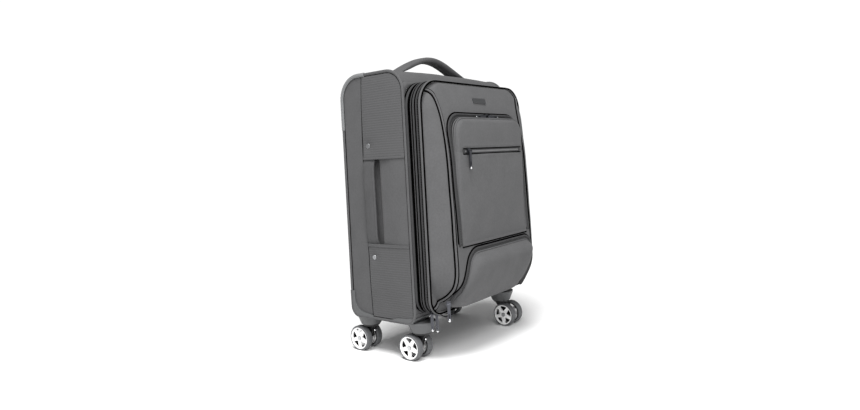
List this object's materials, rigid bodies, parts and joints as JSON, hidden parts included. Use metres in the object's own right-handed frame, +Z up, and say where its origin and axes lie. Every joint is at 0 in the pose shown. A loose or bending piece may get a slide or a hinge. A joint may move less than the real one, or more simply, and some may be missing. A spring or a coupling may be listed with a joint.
{
  "type": "softside upright suitcase",
  "caption": "Softside upright cabin suitcase with zipped pockets, padded top handle, side carry strap, telescoping trolley handle and twin-wheel swivel casters.",
  "frame": {"origin": "on the floor, at the centre of the overall box", "axes": "+Z up, -Y towards the lid and its pockets, +Y towards the trolley handle side, -X towards the side with the carry strap"},
  "size_m": [0.351, 0.2734, 0.584],
  "materials": {
    "panel_fabric": "plain woven polyester, charcoal grey, foam backed",
    "lid_fabric": "plain woven polyester, charcoal grey, padded",
    "ribbed_fabric": "horizontally ribbed woven fabric",
    "strap_fabric": "padded webbing",
    "piping": "cord in a bias-cut cover",
    "corner_binding": "ribbed moulded binding, mid grey",
    "zipper_tape": "zipper tape and nylon coil",
    "zipper_metal": "gunmetal lacquer",
    "badge_metal": "satin, blank",
    "dark_plastic": "fine grained moulding",
    "button_plastic": "smooth",
    "tube_metal": "anodised",
    "axle_steel": "zinc plated",
    "wheel_plastic": "moulded core, light grey, with a bonded mid-grey tyre"
  },
  "bodies": {
    "case": {"back_panel": "panel_fabric", "top_panel": "panel_fabric", "base_board": "panel_fabric", "left_side_panel": "panel_fabric", "right_side_panel": "panel_fabric", "expander_gusset": "panel_fabric", "expansion_zipper": "zipper_tape", "main_zipper_case_side": "zipper_tape", "side_piping": "piping", "side_patches": "ribbed_fabric", "side_carry_strap": "strap_fabric", "side_strap_rivets": "badge_metal", "top_handle": "strap_fabric", "rear_corner_guards": "corner_binding", "caster_housing_front_left": "dark_plastic", "caster_housing_front_right": "dark_plastic", "caster_housing_rear_left": "dark_plastic", "caster_housing_rear_right": "dark_plastic", "trolley_bezel": "dark_plastic", "trolley_outer_tubes": "tube_metal", "trolley_foot": "dark_plastic"},
    "lid": {"lid_shell": "lid_fabric", "lid_piping": "piping", "main_zipper_lid_side": "zipper_tape", "upper_pocket": "lid_fabric", "upper_pocket_zipper": "zipper_tape", "welt_zipper": "zipper_tape", "lower_pocket": "lid_fabric", "lower_pocket_zipper": "zipper_tape", "badge": "badge_metal", "fabric_hinge": "lid_fabric", "zipper_sliders": "zipper_metal"},
    "trolley_lower": {"trolley_middle_tubes": "tube_metal"},
    "trolley_upper": {"trolley_inner_tubes": "tube_metal", "trolley_grip": "dark_plastic"},
    "button": {"trolley_button": "button_plastic"},
    "welt_slider_body": {"welt_slider": "zipper_metal"},
    "welt_pull_body": {"welt_pull": "zipper_metal"},
    "lower_pull": {"lower_pocket_pull": "zipper_metal"},
    "upper_pull_left": {"upper_pocket_pull_left": "zipper_metal"},
    "upper_pull_right": {"upper_pocket_pull_right": "zipper_metal"},
    "main_pull_outer": {"main_zipper_pull_outer": "zipper_metal"},
    "main_pull_inner": {"main_zipper_pull_inner": "zipper_metal"},
    "caster_front_left": {"caster_fork_front_left": "dark_plastic", "caster_axle_front_left": "axle_steel"},
    "wheel_body_front_left_left": {"wheel_front_left_left": "wheel_plastic"},
    "wheel_body_front_left_right": {"wheel_front_left_right": "wheel_plastic"},
    "caster_front_right": {"caster_fork_front_right": "dark_plastic", "caster_axle_front_right": "axle_steel"},
    "wheel_body_front_right_left": {"wheel_front_right_left": "wheel_plastic"},
    "wheel_body_front_right_right": {"wheel_front_right_right": "wheel_plastic"},
    "caster_rear_left": {"caster_fork_rear_left": "dark_plastic", "caster_axle_rear_left": "axle_steel"},
    "wheel_body_rear_left_left": {"wheel_rear_left_left": "wheel_plastic"},
    "wheel_body_rear_left_right": {"wheel_rear_left_right": "wheel_plastic"},
    "caster_rear_right": {"caster_fork_rear_right": "dark_plastic", "caster_axle_rear_right": "axle_steel"},
    "wheel_body_rear_right_left": {"wheel_rear_right_left": "wheel_plastic"},
    "wheel_body_rear_right_right": {"wheel_rear_right_right": "wheel_plastic"}
  },
  "joints": [
    {"name": "lid_swing", "type": "hinge", "parent": "case", "child": "lid", "pos_m": [0.176, -0.0745, 0.305], "axis": [0, 0, 1], "range_deg": [0, 180]},
    {"name": "trolley_stage_one", "type": "slide", "parent": "case", "child": "trolley_lower", "axis": [0, 0, 1], "range_m": [0, 0.24]},
    {"name": "trolley_stage_two", "type": "slide", "parent": "trolley_lower", "child": "trolley_upper", "axis": [0, 0, 1], "range_m": [0, 0.24]},
    {"name": "button_press", "type": "slide", "parent": "trolley_upper", "child": "button", "axis": [0, 0, -1], "range_m": [0, 0.003], "stiffness_N_per_m": 600},
    {"name": "welt_slider_travel", "type": "slide", "parent": "lid", "child": "welt_slider_body", "axis": [1, 0, 0], "range_m": [0, 0.18]},
    {"name": "welt_pull_swing", "type": "hinge", "parent": "welt_slider_body", "child": "welt_pull_body", "pos_m": [-0.09, -0.12915, 0.387], "axis": [-1, 0, 0], "range_deg": [-6, 150]},
    {"name": "lower_pull_swing", "type": "hinge", "parent": "lid", "child": "lower_pull", "pos_m": [-0.15493, -0.11173, 0.117], "axis": [-0.6364, 0.7714, 0], "range_deg": [-4, 150]},
    {"name": "upper_pull_left_swing", "type": "hinge", "parent": "lid", "child": "upper_pull_left", "pos_m": [-0.007, -0.11097, 0.452], "axis": [0, 0, 1], "range_deg": [-4, 100]},
    {"name": "upper_pull_right_swing", "type": "hinge", "parent": "lid", "child": "upper_pull_right", "pos_m": [0.007, -0.11097, 0.452], "axis": [0, 0, -1], "range_deg": [-4, 100]},
    {"name": "main_pull_outer_swing", "type": "hinge", "parent": "lid", "child": "main_pull_outer", "pos_m": [-0.15796, -0.0745, 0.09525], "axis": [0, 1, 0], "range_deg": [-8, 110]},
    {"name": "main_pull_inner_swing", "type": "hinge", "parent": "lid", "child": "main_pull_inner", "pos_m": [-0.14354, -0.0745, 0.09029], "axis": [0, 1, 0], "range_deg": [-80, 8]},
    {"name": "swivel_front_left", "type": "hinge", "parent": "case", "child": "caster_front_left", "pos_m": [-0.142, -0.03575, 0.054], "axis": [0, 0, 1], "continuous": true},
    {"name": "spin_front_left_left", "type": "hinge", "parent": "caster_front_left", "child": "wheel_body_front_left_left", "pos_m": [-0.1565, -0.01925, 0.025], "axis": [1, 0, 0], "continuous": true},
    {"name": "spin_front_left_right", "type": "hinge", "parent": "caster_front_left", "child": "wheel_body_front_left_right", "pos_m": [-0.1275, -0.01925, 0.025], "axis": [1, 0, 0], "continuous": true},
    {"name": "swivel_front_right", "type": "hinge", "parent": "case", "child": "caster_front_right", "pos_m": [0.142, -0.03575, 0.054], "axis": [0, 0, 1], "continuous": true},
    {"name": "spin_front_right_left", "type": "hinge", "parent": "caster_front_right", "child": "wheel_body_front_right_left", "pos_m": [0.1275, -0.05225, 0.025], "axis": [1, 0, 0], "continuous": true},
    {"name": "spin_front_right_right", "type": "hinge", "parent": "caster_front_right", "child": "wheel_body_front_right_right", "pos_m": [0.1565, -0.05225, 0.025], "axis": [1, 0, 0], "continuous": true},
    {"name": "swivel_rear_left", "type": "hinge", "parent": "case", "child": "caster_rear_left", "pos_m": [-0.142, 0.09525, 0.054], "axis": [0, 0, 1], "continuous": true},
    {"name": "spin_rear_left_left", "type": "hinge", "parent": "caster_rear_left", "child": "wheel_body_rear_left_left", "pos_m": [-0.1565, 0.11175, 0.025], "axis": [1, 0, 0], "continuous": true},
    {"name": "spin_rear_left_right", "type": "hinge", "parent": "caster_rear_left", "child": "wheel_body_rear_left_right", "pos_m": [-0.1275, 0.11175, 0.025], "axis": [1, 0, 0], "continuous": true},
    {"name": "swivel_rear_right", "type": "hinge", "parent": "case", "child": "caster_rear_right", "pos_m": [0.142, 0.09525, 0.054], "axis": [0, 0, 1], "continuous": true},
    {"name": "spin_rear_right_left", "type": "hinge", "parent": "caster_rear_right", "child": "wheel_body_rear_right_left", "pos_m": [0.1275, 0.11175, 0.025], "axis": [1, 0, 0], "continuous": true},
    {"name": "spin_rear_right_right", "type": "hinge", "parent": "caster_rear_right", "child": "wheel_body_rear_right_right", "pos_m": [0.1565, 0.11175, 0.025], "axis": [1, 0, 0], "continuous": true}
  ]
}
